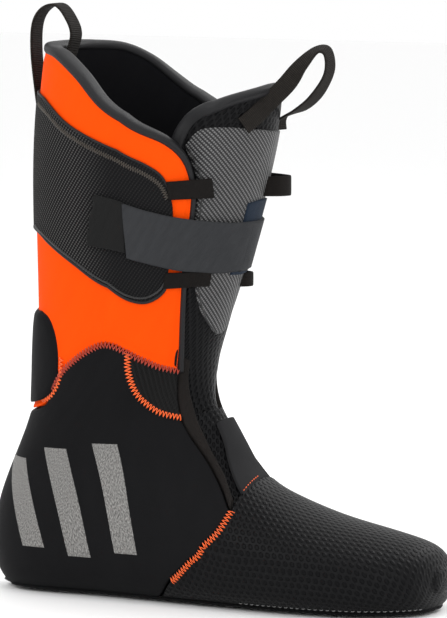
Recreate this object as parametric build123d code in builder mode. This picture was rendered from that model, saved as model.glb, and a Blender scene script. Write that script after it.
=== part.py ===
"""Inner boot (liner) of an alpine touring ski boot, right foot.

Frame: +X points to the toe, +Y to the medial side, +Z up.  The origin is on the flat of the
outsole, below the instep.  The outside of the leg and foot is one form, lofted through sections
that start upright at the toe, fan round the heel and end across the top of the cuff.  Every
layer (foam, lining, overlays, straps) is the space between two such forms, and every panel is
that space cut by the panel's outline in side view.
"""
import os
from math import cos, hypot, pi, radians, sin

from build123d import *

# ---------------------------------------------------------------- driving dimensions (mm)
OUTSOLE_TOP = 4.0
BOARD_TOP = 8.0
FOOTBED_TOP = 13.0
FOAM = 6.0  # foam and outer fabric together
COUNTER = (6.5, 7.7)  # depth of the stiffener round the heel, below the skin
LINING = (8.2, 9.7)  # depth of the lining
SEAM_GAP = 0.5  # between panels that are sewn edge to edge
TRIM_DEPTH = 4.0
GUSSET = (0.8, 2.8)
PANEL = (0.2, 1.7)  # hook-and-loop overlay on the cuff
PAD = (0.2, 4.5)  # achilles pad, proud of the cuff
KEEPER = (1.0, 2.3)
STRAP = (2.7, 4.3)
HOOK_DEPTH = (3.4, 4.3)  # the hook tape is thinner, to slide clear of the overlay
TONGUE_NARROWER = 5.0  # how much closer to the middle the tongue's sides run
TONGUE_FOAM = 8.0
TONGUE_LINING = (8.5, 10.0)
SHIELD = (0.2, 1.2)
BINDING = 4.0
WEBBING = 1.6
LOOP_WIDTH = 16.0
TONGUE_LOOP_WIDTH = 12.0
KEEPER_HEIGHT = 12.0

TOE_WALL_X = 128.0  # the lining closes the cavity 2 mm behind the foam
PIVOT = (-66.0, 100.0)  # ankle axis in side view (x, z)
FOOT_RADIUS = 55.0
CUFF_RADIUS = 56.5
FOOT_REAR, FOOT_FRONT = 175.0, 18.0  # degrees round the ankle where the foot's edge ends
CUFF_REAR, CUFF_FRONT = 163.0, 35.0  # clear of the foot at full flex
TONGUE_BASE_Z = 118.0
STRAP_FOLD_X = -5.5  # where a strap tail folds off the tongue
STRAP_FOLD_GAP = 0.5
HOOK_X = -41.0
FAR = 400.0

# Sections of the form: front x, z; rear x, z; half width; squareness of the rear half;
# taper towards the front; sideways offset of the middle.
SECTIONS = [
    (139.5, 27, 139.5, 12, 12, 2.4, 0.00, 9.0),
    (136.5, 34, 137.0, 5, 23, 2.6, 0.00, 8.5),
    (129.5, 40.5, 130.5, 1, 33, 2.8, 0.00, 7.5),
    (114.5, 45, 116.0, -1, 42, 3.2, 0.00, 6.0),
    (94, 49.5, 96, -2, 48, 3.6, 0.00, 4.5),
    (69, 55.5, 69, -2, 50.5, 3.8, 0.00, 3.0),
    (42, 65.5, 38, -2, 49, 3.8, 0.02, 1.5),
    (25, 76, 4, -2, 46, 3.8, 0.04, 0.5),
    (14.5, 91, -38, -2, 43, 3.6, 0.06, 0),
    (5.5, 107, -90, -2, 41, 3.4, 0.08, 0),
    (-1.5, 120, -138, 0, 41, 3.0, 0.08, 0),
    (-5.5, 133, -151, 28, 42, 2.6, 0.08, 0),
    (-5, 146, -144, 62, 42, 2.4, 0.08, 0),
    (-1, 160, -128, 100, 42, 2.3, 0.08, 0),
    (5, 180, -120.5, 135, 43.5, 2.3, 0.08, 0),
    (15, 215, -119.5, 185, 48, 2.3, 0.08, 0),
    (25, 250, -120, 235, 52, 2.3, 0.08, 0),
    (33, 285, -118.5, 285, 54.5, 2.3, 0.08, 0),
    (36, 312, -113, 332, 55, 2.3, 0.08, 0),
    (38, 330, -109, 356, 55, 2.3, 0.08, 0),
]
POINTS_PER_SECTION = 12
HEEL = 11  # the section through the back of the heel, where the foot and the leg meet

# Side-view outlines (x, z).
RIM = [(-140, 333), (-112, 331), (-90, 328), (-72, 317), (-54, 300), (-34, 288), (-14, 279), (-4, 268)]
FLAP_FRONT = [(0, 252), (-2, 236), (-7.5, 214), (-11, 188), (-14, 165), (-16, 145), (-18, 120)]
RIM_NORMAL = (0.47, 0.88)
TONGUE_TOP = [(-18, 284), (-14, 295), (-5, 304), (12, 311), (40, 311)]
TONGUE_FRONT_GAP = 1.5
SHIELD_EDGE = [(10, 288), (-4, 283), (-2, 265), (4, 247), (2, 230), (-1, 202), (-2, 183), (-2, 168), (6, 160)]
PANEL_EDGE = [
    (-113, 303), (-100, 303), (-78, 288), (-54, 277), (-33, 268), (-17, 258), (-12.5, 244), (-13.5, 225),
    (-17, 204), (-22, 189), (-31, 182.5), (-43, 185), (-58, 194), (-76, 206), (-95, 217), (-113, 224),
]
PAD_EDGE = [(-112, 118), (-100, 121), (-92, 132), (-90, 146), (-93, 160), (-100, 170), (-114, 174)]
VAMP_SEAM = [(22, 58.6), (17, 49), (7, 38.5), (-2, 28.4), (-14.6, 16.8), (-28, 3.6)]
THROAT_OUTER = [(21.5, 60), (14, 71), (5, 83.6), (-6.4, 97), (-16, 110.6), (-19, 122.5), (-17.5, 139)]
THROAT_INNER = [(21.5, 66.5), (17.5, 74), (10, 85), (1, 97), (-7, 108), (-11, 117), (-12, 126)]
ANKLE_PANEL = [(-44, 152), (-44.5, 141), (-42, 130), (-36, 121), (-28, 115), (-18, 112.5)]
GUSSET_TOP_Z = 112.0
STRAP_UPPER = [(-58, 246), (-46, 243.4), (-25, 237), (-5, 232.5), (12, 230.5), (40, 230)]
STRAP_LOWER = [(40, 198), (8, 199), (-15, 201), (-31, 206), (-51, 211.4), (-64.5, 215.5)]
PATCH_BOX = (9, 198.5, 60, 243)  # x, z, x, z
UPPER_KEEPER_BOX = (-11.0, 244.0, 8.0, 256.0)
LOWER_KEEPER_BOX = (-15.0, 189.0, 6.0, 197.5)
KEEPER_FOOT = 5.0  # length of the keeper's sewn end
COUNTER_EDGE = [(-70, 9), (-78, 30), (-95, 62), (-112, 88)]

REAR_LOOP = [
    (-118.4, 296), (-120.5, 318), (-122.5, 342), (-117, 354), (-107, 356), (-99, 348), (-96, 335), (-103, 315),
]
REAR_LOOP_Y = -6.0
REAR_HINGE_Z = 336.0
REAR_ANCHOR_TOP_Z = 332.0  # the loop swings clear above this
TONGUE_LOOP = [(39.5, 303.5), (50, 321), (62, 333), (69, 332), (69, 323), (55, 304), (40, 288)]
TONGUE_LOOP_Y = 4.0
TONGUE_ANCHOR = (1.5, 2.7)  # heights of the sewn-down end above the tongue
TONGUE_ANCHOR_Z = (283.0, 307.0)
MEDIAL_KEEPER = [(22, 4), (33, 10), (35, 19), (24, 28)]
MEDIAL_KEEPER_END = {"upper": (6, 37), "lower": (9.5, 34.5)}  # inside the tongue, clear of the flap
LOWER_KEEPER_SCALE = 0.8


# ---------------------------------------------------------------- forms and cutters
def section_points(half_height, half_width, square, taper, middle):
    """Points round one section, in its own plane."""
    points = []
    for i in range(POINTS_PER_SECTION):
        angle = 2 * pi * (i + 0.5) / POINTS_PER_SECTION
        power = 2 / square if cos(angle) < 0 else 1.0
        along = abs(cos(angle)) ** power * (1 if cos(angle) >= 0 else -1)
        across = half_width * sin(angle) * (1 - taper * along)
        points.append((half_height * along, middle - across))
    return points


def form(inset, narrower=0.0, first=0):
    """The closed form, moved inwards by inset (outwards if negative)."""
    stretches = [SECTIONS[HEEL:]]
    if first < HEEL:
        stretches.append(SECTIONS[first : HEEL + 1])
    with BuildPart() as body:
        for stretch in stretches:
            for front_x, front_z, rear_x, rear_z, width, square, taper, middle in stretch:
                height = hypot(front_x - rear_x, front_z - rear_z)
                up = ((front_x - rear_x) / height, (front_z - rear_z) / height)
                plane = Plane(
                    origin=((front_x + rear_x) / 2, 0, (front_z + rear_z) / 2),
                    x_dir=(up[0], 0, up[1]),
                    z_dir=(-up[1], 0, up[0]),
                )
                half_width = width - narrower - inset
                points = section_points(height / 2 - inset, half_width, square, taper, middle)
                with BuildSketch(plane):
                    with BuildLine():
                        Spline(*points, periodic=True)
                    make_face()
            loft()
    return body.part


def prism(sketch, side):
    """The side-view outline carried through the boot: both sides, lateral or medial only."""
    with BuildPart() as cutter:
        if side == "both":
            extrude(sketch, amount=FAR, both=True)
        else:
            extrude(sketch, amount=FAR if side == "lateral" else -FAR)
    return cutter.part


def outline(points, close_by=(), smooth=True):
    """A face in side view: a curve through points, closed by straight lines."""
    with BuildSketch(Plane.XZ) as face:
        with BuildLine():
            if smooth:
                Spline(*points)
            else:
                Polyline(*points)
            Polyline(points[-1], *close_by, points[0])
        make_face()
    return face.sketch


def rectangle(x0, z0, x1, z1):
    return outline([(x0, z0), (x1, z0), (x1, z1), (x0, z1)], smooth=False)


def around_ankle(radius, rear, front, above):
    """Everything above (or below) an arc round the ankle and the rays at its ends."""
    edge = FAR if above else -FAR
    with BuildSketch(Plane.XZ) as face:
        with BuildLine():
            arc = CenterArc(PIVOT, radius, front, rear - front)
            rear_far = (PIVOT[0] + FAR * cos(radians(rear)), PIVOT[1] + FAR * sin(radians(rear)))
            front_far = (PIVOT[0] + FAR * cos(radians(front)), PIVOT[1] + FAR * sin(radians(front)))
            Polyline(arc @ 1, rear_far, (-FAR, edge), (FAR, edge), front_far, arc @ 0)
        make_face()
    return face.sketch


def save(piece, name, color):
    piece.label = name
    piece.color = Color(*color)
    export_step(piece, f"parts/{name}.step")


def cut_layer(outer, inner, keep, remove=()):
    """outer minus inner, kept inside every cutter of keep and outside those of remove."""
    with BuildPart() as layer:
        add(outer)
        if inner is not None:
            add(inner, mode=Mode.SUBTRACT)
        for cutter in keep:
            add(cutter, mode=Mode.INTERSECT)
        for cutter in remove:
            add(cutter, mode=Mode.SUBTRACT)
    return Part([layer.part.solids().sort_by(SortBy.VOLUME)[-1]])


def skin_front(z):
    """x of the form's front edge at height z."""
    below, above = [(a, b) for a, b in zip(SECTIONS, SECTIONS[1:]) if a[1] <= z <= b[1]][-1]
    return below[0] + (above[0] - below[0]) * (z - below[1]) / (above[1] - below[1])


def webbing(points, width, middle_y, plane=Plane.XZ):
    """A band of webbing that follows points, with its width across the plane."""
    with BuildPart() as band:
        with BuildSketch(plane):
            with BuildLine():
                Spline(*points)
            trace(line_width=WEBBING)
        extrude(amount=width / 2, both=True)
    return Location((0, middle_y, 0)) * band.part if plane == Plane.XZ else band.part


# ---------------------------------------------------------------- shared forms and regions
os.makedirs("parts", exist_ok=True)

skin = form(0)
foam_inner = form(FOAM, first=2)
lining_outer = form(LINING[0], first=2)
with BuildPart() as cavity_cut:
    add(form(LINING[1], first=2))
    split(bisect_by=Plane.YZ.offset(TOE_WALL_X), keep=Keep.BOTTOM)
cavity = cavity_cut.part

above_outsole = prism(rectangle(-FAR, OUTSOLE_TOP, FAR, FAR), "both")
above_board = prism(rectangle(-FAR, BOARD_TOP, FAR, FAR), "both")
foot_part = prism(around_ankle(FOOT_RADIUS, FOOT_REAR, FOOT_FRONT, above=False), "both")
cuff_part = prism(around_ankle(CUFF_RADIUS, CUFF_REAR, CUFF_FRONT, above=True), "both")
throat = prism(outline(THROAT_OUTER, [(-17.5, FAR), (FAR, FAR), (FAR, 90), (26, 76)]), "both")
inside_trims = prism(outline(THROAT_INNER, [(-12, FAR), (FAR, FAR), (FAR, 92), (25, 78)]), "both")
behind_seam = prism(outline(VAMP_SEAM, [(-28, -FAR), (-FAR, -FAR), (-FAR, FAR), (22, FAR)]), "both")
front_of_seam = Location((SEAM_GAP, 0, 0)) * behind_seam
ankle_panel = outline(ANKLE_PANEL, [(-12, 112.5), (-12, 152)])
SIDES = ("lateral", "medial")

# ---------------------------------------------------------------- the foot
with BuildPart() as outsole:
    add(skin)
    add(prism(rectangle(-FAR, 0, FAR, OUTSOLE_TOP), "both"), mode=Mode.INTERSECT)
save(outsole.part, "outsole", (0.04, 0.04, 0.04))

with BuildPart() as insole_board:
    add(foam_inner)
    add(prism(rectangle(-FAR, OUTSOLE_TOP, FAR, BOARD_TOP), "both"), mode=Mode.INTERSECT)
save(insole_board.part, "insole_board", (0.6, 0.55, 0.45))

with BuildPart() as footbed:
    add(cavity)
    add(prism(rectangle(-FAR, BOARD_TOP, FAR, FOOTBED_TOP), "both"), mode=Mode.INTERSECT)
save(footbed.part, "footbed", (0.3, 0.3, 0.32))

vamp = cut_layer(skin, foam_inner, [above_outsole], [front_of_seam, throat])
save(vamp, "vamp", (0.08, 0.08, 0.09))

counter_region = prism(outline(COUNTER_EDGE, [(-FAR, 88), (-FAR, 9)]), "both")
counter_forms = [form(depth, first=2) for depth in COUNTER]
heel_counter = cut_layer(*counter_forms, [counter_region])
save(heel_counter, "heel_counter", (0.75, 0.75, 0.72))

trim_inner = form(TRIM_DEPTH, first=2)
for side in SIDES:
    half = prism(rectangle(-FAR, -FAR, FAR, FAR), side)
    panel_cut = prism(ankle_panel, side)
    keep = [half, above_outsole, foot_part, behind_seam]
    quarter = cut_layer(skin, foam_inner, keep, [throat, panel_cut])
    save(quarter, f"{side}_quarter", (0.06, 0.06, 0.07))
    panel = cut_layer(skin, foam_inner, [panel_cut, foot_part], [throat])
    save(panel, f"{side}_ankle_panel", (0.1, 0.1, 0.11))
    trim = cut_layer(skin, trim_inner, [half, foot_part, throat], [inside_trims])
    save(trim, f"{side}_throat_trim", (0.12, 0.12, 0.13))

below_gusset_top = prism(rectangle(-FAR, -FAR, FAR, GUSSET_TOP_Z), "both")
gusset_forms = [form(depth) for depth in GUSSET]
gusset = cut_layer(*gusset_forms, [inside_trims, below_gusset_top])
save(gusset, "instep_gusset", (0.16, 0.16, 0.17))

foot_lining = cut_layer(lining_outer, cavity, [above_board, foot_part], [throat])
save(foot_lining, "foot_lining", (0.1, 0.1, 0.1))

# ---------------------------------------------------------------- the cuff
def flap_outline(inset):
    """The cuff in side view: the rim, then the front edge of the flap, moved in by inset."""
    rim = [(x - RIM_NORMAL[0] * inset, z - RIM_NORMAL[1] * inset) for x, z in RIM]
    front = [(x - inset, z) for x, z in FLAP_FRONT]
    with BuildSketch(Plane.XZ) as face:
        with BuildLine():
            Spline(*rim)
            Spline(rim[-1], *front)
            Polyline(front[-1], (-22, 40), (-FAR, 40), (-FAR, rim[0][1]), rim[0])
        make_face()
    return face.sketch


flap_cut = prism(flap_outline(0), "both")
core_cut = prism(flap_outline(BINDING), "both")

cuff_shell = cut_layer(skin, foam_inner, [core_cut, cuff_part])
save(cuff_shell, "cuff_shell", (0.95, 0.35, 0.05))
cuff_lining = cut_layer(lining_outer, cavity, [core_cut, cuff_part])
save(cuff_lining, "cuff_lining", (0.08, 0.08, 0.08))
collar_binding = cut_layer(skin, cavity, [flap_cut, cuff_part], [core_cut])
save(collar_binding, "collar_binding", (0.05, 0.05, 0.05))

panel_forms = [form(-height) for height in reversed(PANEL)]
for side in SIDES:
    loop_panel = cut_layer(*panel_forms, [prism(outline(PANEL_EDGE), side)])
    save(loop_panel, f"{side}_loop_panel", (0.2, 0.2, 0.21))

pad_region = prism(outline(PAD_EDGE, [(-FAR, 174), (-FAR, 118)]), "both")
pad_forms = [form(-height) for height in reversed(PAD)]
achilles_pad = cut_layer(*pad_forms, [pad_region, cuff_part])
save(achilles_pad, "achilles_pad", (0.07, 0.07, 0.08))

# ---------------------------------------------------------------- the tongue
tongue_skin = form(0, TONGUE_NARROWER, first=HEEL)
tongue_inner = form(TONGUE_FOAM, TONGUE_NARROWER, first=HEEL)
tongue_linings = [form(depth, TONGUE_NARROWER, first=HEEL) for depth in TONGUE_LINING]
gap = TONGUE_FRONT_GAP
rim_edge = [(x + gap, z + gap) for x, z in RIM[5:]]
front_edge = [(x + gap, z) for x, z in FLAP_FRONT[:-1]]
edge = rim_edge + front_edge + [(-8, TONGUE_BASE_Z)]
tongue_cut = prism(outline(edge, [(FAR, TONGUE_BASE_Z), (FAR, FAR), (rim_edge[0][0], FAR)]), "both")
below_top = prism(outline(TONGUE_TOP, [(FAR, 311), (FAR, -FAR), (-18, -FAR)]), "both")

tongue_core = cut_layer(tongue_skin, tongue_inner, [tongue_cut, below_top])
save(tongue_core, "tongue_core", (0.1, 0.1, 0.11))
tongue_lining = cut_layer(*tongue_linings, [tongue_cut, below_top])
save(tongue_lining, "tongue_lining", (0.07, 0.07, 0.07))

shield_forms = [form(-height, TONGUE_NARROWER, first=HEEL) for height in reversed(SHIELD)]
shield_region = prism(outline(SHIELD_EDGE, [(FAR, 160), (FAR, 288)]), "both")
tongue_shield = cut_layer(*shield_forms, [shield_region, tongue_cut])
save(tongue_shield, "tongue_shield", (0.45, 0.45, 0.46))

strap_forms = [form(-height) for height in reversed(STRAP)]
strap_cut = prism(outline(STRAP_UPPER, STRAP_LOWER), "both")
patch = cut_layer(strap_forms[1], shield_forms[0], [prism(rectangle(*PATCH_BOX), "both")])
save(patch, "strap_patch", (0.1, 0.12, 0.2))

front_of_fold = prism(rectangle(STRAP_FOLD_X, -FAR, FAR, FAR), "both")
strap_band = cut_layer(*strap_forms, [strap_cut, front_of_fold])
save(strap_band, "strap_band", (0.22, 0.23, 0.24))

fold_x = STRAP_FOLD_X - STRAP_FOLD_GAP
hook_forms = [form(-height) for height in reversed(HOOK_DEPTH)]
for side in SIDES:
    tail_part = prism(rectangle(HOOK_X, -FAR, fold_x, FAR), side)
    hook_part = prism(rectangle(-FAR, -FAR, HOOK_X, FAR), side)
    tail = cut_layer(*strap_forms, [tail_part, strap_cut])
    save(tail, f"{side}_strap_tail", (0.22, 0.23, 0.24))
    hook = cut_layer(*hook_forms, [hook_part, strap_cut])
    save(hook, f"{side}_strap_hook", (0.06, 0.06, 0.07))

keeper_forms = [form(-height) for height in reversed(KEEPER)]
keepers = {"upper": UPPER_KEEPER_BOX, "lower": LOWER_KEEPER_BOX}
for level, (x0, z0, x1, z1) in keepers.items():
    band_cut = prism(rectangle(x0, z0, x1, z1), "lateral")
    foot_cut = prism(rectangle(x1 - KEEPER_FOOT, z0, x1, z1), "lateral")
    with BuildPart() as keeper:
        add(cut_layer(*keeper_forms, [band_cut]))
        add(cut_layer(keeper_forms[0], shield_forms[0], [foot_cut]))
    save(keeper.part, f"lateral_{level}_keeper", (0.05, 0.05, 0.05))
    middle = (z0 + z1) / 2
    scale = 1.0 if level == "upper" else LOWER_KEEPER_SCALE
    shift = skin_front(middle) - skin_front(250)
    points = [(x * scale + shift, y * scale) for x, y in MEDIAL_KEEPER + [MEDIAL_KEEPER_END[level]]]
    arch = webbing(points, z1 - z0, 0, Plane.XY.offset(middle))
    save(arch, f"medial_{level}_keeper", (0.05, 0.05, 0.05))

# ---------------------------------------------------------------- pull loops
rear = webbing(REAR_LOOP, LOOP_WIDTH, REAR_LOOP_Y)
above_rim = prism(rectangle(-FAR, REAR_HINGE_Z, FAR, FAR), "both")
with BuildPart() as rear_loop:
    add(rear)
    add(above_rim, mode=Mode.INTERSECT)
save(rear_loop.part, "rear_loop", (0.07, 0.07, 0.07))
below_rim = prism(rectangle(-FAR, -FAR, FAR, REAR_ANCHOR_TOP_Z), "both")
with BuildPart() as rear_anchors:
    add(rear)
    add(below_rim, mode=Mode.INTERSECT)
save(rear_anchors.part, "rear_loop_anchors", (0.07, 0.07, 0.07))

with BuildPart() as anchor_cut:
    with BuildSketch(Plane.YZ):
        with Locations((TONGUE_LOOP_Y, sum(TONGUE_ANCHOR_Z) / 2)):
            Rectangle(TONGUE_LOOP_WIDTH, TONGUE_ANCHOR_Z[1] - TONGUE_ANCHOR_Z[0])
    extrude(amount=FAR)
anchor_forms = [form(-height, TONGUE_NARROWER, first=HEEL) for height in reversed(TONGUE_ANCHOR)]
anchor = cut_layer(*anchor_forms, [anchor_cut.part])
save(anchor, "tongue_loop_anchor", (0.07, 0.07, 0.07))

loop = webbing(TONGUE_LOOP, TONGUE_LOOP_WIDTH, TONGUE_LOOP_Y)
save(loop, "tongue_loop", (0.07, 0.07, 0.07))
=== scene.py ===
"""Looks of the ski-boot liner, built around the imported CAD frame.

The outside of the boot is one form: sections that start upright at the toe, fan round the heel
and end across the top of the cuff.  A place on it is (t, angle): t counts the sections, and the
angle goes round one section, 0 at the front or top, positive to the lateral side, 180 at the
sole or rear.  Panels are patches of that form between four seam lines, given in side view or by
height, each made into a closed slab with rolled edges.  Lengths are in millimetres until a mesh
is made.
"""

from math import cos, pi, radians, sin

import bpy
import numpy as np
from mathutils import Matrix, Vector


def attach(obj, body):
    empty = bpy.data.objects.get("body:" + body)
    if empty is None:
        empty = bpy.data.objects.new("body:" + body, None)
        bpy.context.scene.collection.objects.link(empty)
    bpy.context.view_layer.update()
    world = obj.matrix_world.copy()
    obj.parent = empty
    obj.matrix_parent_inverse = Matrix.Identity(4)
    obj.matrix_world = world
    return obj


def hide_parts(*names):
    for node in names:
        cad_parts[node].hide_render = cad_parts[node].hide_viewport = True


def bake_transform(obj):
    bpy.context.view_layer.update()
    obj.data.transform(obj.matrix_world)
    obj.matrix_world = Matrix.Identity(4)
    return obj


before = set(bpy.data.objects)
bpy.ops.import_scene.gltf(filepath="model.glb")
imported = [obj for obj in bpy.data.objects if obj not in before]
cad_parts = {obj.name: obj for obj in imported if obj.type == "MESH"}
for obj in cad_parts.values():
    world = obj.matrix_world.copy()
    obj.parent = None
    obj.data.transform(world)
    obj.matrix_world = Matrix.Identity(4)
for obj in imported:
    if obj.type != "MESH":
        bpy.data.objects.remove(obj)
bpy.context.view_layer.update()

MM = 0.001
LATERAL = 1
MEDIAL = -1
SIDES = {"lateral": LATERAL, "medial": MEDIAL}

# Sections of the form: front x, z; rear x, z; half width; squareness of the rear half;
# taper towards the front; sideways offset of the middle.
SECTIONS = np.array([
    (139.5, 27, 139.5, 12, 12, 2.4, 0.00, 9.0),
    (136.5, 34, 137.0, 5, 23, 2.6, 0.00, 8.5),
    (129.5, 40.5, 130.5, 1, 33, 2.8, 0.00, 7.5),
    (114.5, 45, 116.0, -1, 42, 3.2, 0.00, 6.0),
    (94, 49.5, 96, -2, 48, 3.6, 0.00, 4.5),
    (69, 55.5, 69, -2, 50.5, 3.8, 0.00, 3.0),
    (42, 65.5, 38, -2, 49, 3.8, 0.02, 1.5),
    (25, 76, 4, -2, 46, 3.8, 0.04, 0.5),
    (14.5, 91, -38, -2, 43, 3.6, 0.06, 0),
    (5.5, 107, -90, -2, 41, 3.4, 0.08, 0),
    (-1.5, 120, -138, 0, 41, 3.0, 0.08, 0),
    (-5.5, 133, -151, 28, 42, 2.6, 0.08, 0),
    (-5, 146, -144, 62, 42, 2.4, 0.08, 0),
    (-1, 160, -128, 100, 42, 2.3, 0.08, 0),
    (5, 180, -120.5, 135, 43.5, 2.3, 0.08, 0),
    (15, 215, -119.5, 185, 48, 2.3, 0.08, 0),
    (25, 250, -120, 235, 52, 2.3, 0.08, 0),
    (33, 285, -118.5, 285, 54.5, 2.3, 0.08, 0),
    (36, 312, -113, 332, 55, 2.3, 0.08, 0),
    (38, 330, -109, 356, 55, 2.3, 0.08, 0),
])
LAST = len(SECTIONS) - 1
NOSE_BULGE = 2.5  # how far the toe is rounded off in front of the first section
FLOOR_GAP = 0.3  # the fabric's lowest point, above the flat of the outsole
SOLE_EDGE_Z = 2.6  # where the uppers meet the outsole
SOLE_RIDGE_Z = 3.6  # the ridge above that edge
TOE_SEWING_Z = 5.5
FOOTBED_Z = 14  # where the lining ends
# Places along t: the tip of the toe, the heel end of the sole, up the heel, the lining's foot.
TOE_TIP_T = -0.995
HEEL_SOLE_T = 10.6
HEEL_BACK_T = (11.2, 12, 12.7)
LINING_FOOT_T = (7.6, 10.2)
SEAM_TO_SOLE_T = 0.12  # from the last point of the vamp's seam on to the sole

# Top and bottom of the layers, as depth below the form (negative stands proud).
FOAM = 6.0
QUARTER_DEPTH = (-0.5, FOAM)
ANKLE_DEPTH = (-0.3, FOAM)
VAMP_DEPTH = (-0.4, FOAM)
CUFF_DEPTH = (0, FOAM)
TRIM_DEPTH = (-1.3, 4.0)
GUSSET_DEPTH = (2.6, 4.6)
INSTEP_FLAP_DEPTH = (-0.9, 1.6)
PANEL_DEPTH = (-1.9, 0.6)
LINING_DEPTH = (7.8, 9.7)
PAD_DEPTH = (-1.6, 1.0)
TONGUE_DEPTH = (0.2, 8.4)
TONGUE_LINING_DEPTH = (8.3, 9.6)
SHIELD_DEPTH = (-1.1, 0.9)
STRAP_DEPTH = (-4.4, -2.6)
PATCH_DEPTH = (-2.4, -0.6)
HOOK_DEPTH = (-4.7, -2.2)
KEEPER_DEPTH = (-3.0, -1.6)
BAR_DEPTH = (-0.85, 0.2)

# Sewing: width and pitch of the zigzags, length and gap of the straight stitches.
SEAM_ZIGZAG = (4.6, 2.1)
REAR_CUFF_ZIGZAG = (4.2, 2.2)
PANEL_ZIGZAG = (3.4, 1.5)
PAD_ZIGZAG = (3.6, 2.3)
FLAP_STITCH = (1.0, 1.6)
TOE_STITCH = (2.2, 1.6)
STITCH_SIDES = 6  # round a sewing thread
STEPS_PER_STITCH = 4
STITCH_DIP = np.array([0.5, -0.1, -0.2, -0.1, 0.5])  # depth of a straight stitch along it
BOW, DIP = 0.35, 0.5  # a stitch rises in the middle and dives at its ends

# Seams and outlines in side view (x, z).
RIM = [(-104, 330.5), (-90, 328), (-72, 317), (-54, 300), (-34, 288), (-14, 279), (-4, 268)]
MEDIAL_RIM = [(-104, 331), (-90, 329), (-75, 322), (-59, 311), (-42, 301), (-20, 289), (-5, 272)]
RIM_REAR_Z = 331.5
LINING_FRONT = [(-2, 52), (-10, 92), (-18, 125)]
FLAP_FRONT = [(-1, 252), (-2.5, 236), (-7.5, 214), (-11, 188), (-14, 165), (-17, 142)]
VAMP_SEAM = [(21.5, 60), (17, 49), (7, 38.5), (-2, 28.4), (-14.6, 16.8), (-27, 4.5)]
THROAT_OUTER = [(21.5, 60), (14, 71), (5, 83.6), (-6.4, 97), (-17, 112)]
THROAT_INNER = [(21, 66.5), (13, 79), (3, 93), (-6, 107), (-12, 122), (-12, 146)]
ANKLE_SEAM = [(-17, 112), (-28, 115), (-36, 121), (-42, 130), (-44.5, 141), (-44, 151)]
FRONT_CUFF_SEAM = [(-44, 151), (-35, 146.5), (-28, 143), (-18, 140)]
REAR_CUFF_SEAM = [
    (-44, 151), (-51, 154.5), (-59, 155.6), (-67, 152.5), (-76, 147), (-87, 138), (-96, 127), (-104, 116),
]
CUFF_SEAM_REAR_Z = 112
PANEL_FRONT = [(-18.5, 197), (-16, 211), (-13.5, 226), (-12.5, 240), (-14, 250)]
PANEL_TOP = [
    (-14, 250), (-18, 258.5), (-26, 264.5), (-38, 270), (-54, 277), (-78, 288), (-93, 298), (-104, 303),
]
PANEL_BOTTOM = [
    (-18.5, 197), (-21, 189.5), (-26, 184.5), (-33, 182), (-43, 184.5), (-58, 193.5), (-76, 205),
    (-95, 216), (-108, 222),
]
PANEL_REAR_Z = (225, 305)
PAD_SIDE = [(-107, 119), (-99, 122), (-92.5, 132), (-90.5, 146), (-92.5, 160), (-98, 169.5), (-106, 173)]
PAD_REAR_Z = (118, 174)
STRAP_UPPER = [(-41.5, 242.2), (-25, 237), (-5.5, 232.5)]
STRAP_LOWER = [(-40, 208.6), (-31, 206), (-15, 201.5), (-5.5, 200)]
HOOK_X = -41.5
UPPER_KEEPER = [(-15, 244), (8, 245), (8, 257), (-15, 255)]
LOWER_KEEPER = [(-22, 190), (0, 191), (2, 200), (-20, 200)]

ANKLE_FRONT = [(-16.5, 113), (-18.5, 122.5), (-18.5, 132), (-18, 140)]
THROAT_TOP = [(-19, 122.5), (-18, 140), (-16.5, 151)]

# Lines on the front, as (angle, height).
GUSSET_LOW = [(52, 60), (30, 66), (0, 71), (-30, 66), (-52, 60)]
GUSSET_HIGH = [(38, 114), (20, 117), (0, 118), (-20, 117), (-38, 114)]
GUSSET_SIDE = [(42, 76), (36, 92), (35, 104)]
FLAP_LOW = [(35, 67), (20, 72), (5, 74.5), (-12, 74)]
FLAP_HIGH = [(16, 109), (6, 110.5), (-6, 110.5), (-16, 109.5)]
FLAP_LEFT = [(26, 85), (19, 98)]
FLAP_RIGHT = [(-13, 88), (-15, 99)]
FLAP_SEWING = [(33, 69), (20, 73.2), (5, 76)]
HOOK_PATCH_LOW = [(14, 197), (0, 196.5), (-14, 196.5), (-28, 197)]
HOOK_PATCH_HIGH = [(14, 241), (0, 242.5), (-14, 242.5), (-28, 242)]
VAMP_TOP = [(36, 68.5), (20, 73), (5, 75.5), (-8, 76), (-36, 68.5)]


# ---------------------------------------------------------------- the form
def second_differences(values):
    """Curvature at each section of a natural cubic spline through values."""
    n = len(values)
    matrix = np.eye(n)
    wanted = np.zeros(n)
    for i in range(1, n - 1):
        matrix[i, i - 1 : i + 2] = (1, 4, 1)
        wanted[i] = 6 * (values[i - 1] - 2 * values[i] + values[i + 1])
    return np.linalg.solve(matrix, wanted)


CURVATURE = np.stack([second_differences(column) for column in SECTIONS.T], 1)


def section(t):
    """The eight numbers of the section at t, between the given ones by a cubic spline."""
    i = np.clip(np.floor(t).astype(int), 0, LAST - 1)
    f = (np.clip(t, 0, LAST) - i)[..., None]
    bend = ((1 - f) ** 3 - (1 - f)) * CURVATURE[i] + (f**3 - f) * CURVATURE[i + 1]
    return (1 - f) * SECTIONS[i] + f * SECTIONS[i + 1] + bend / 6


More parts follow.
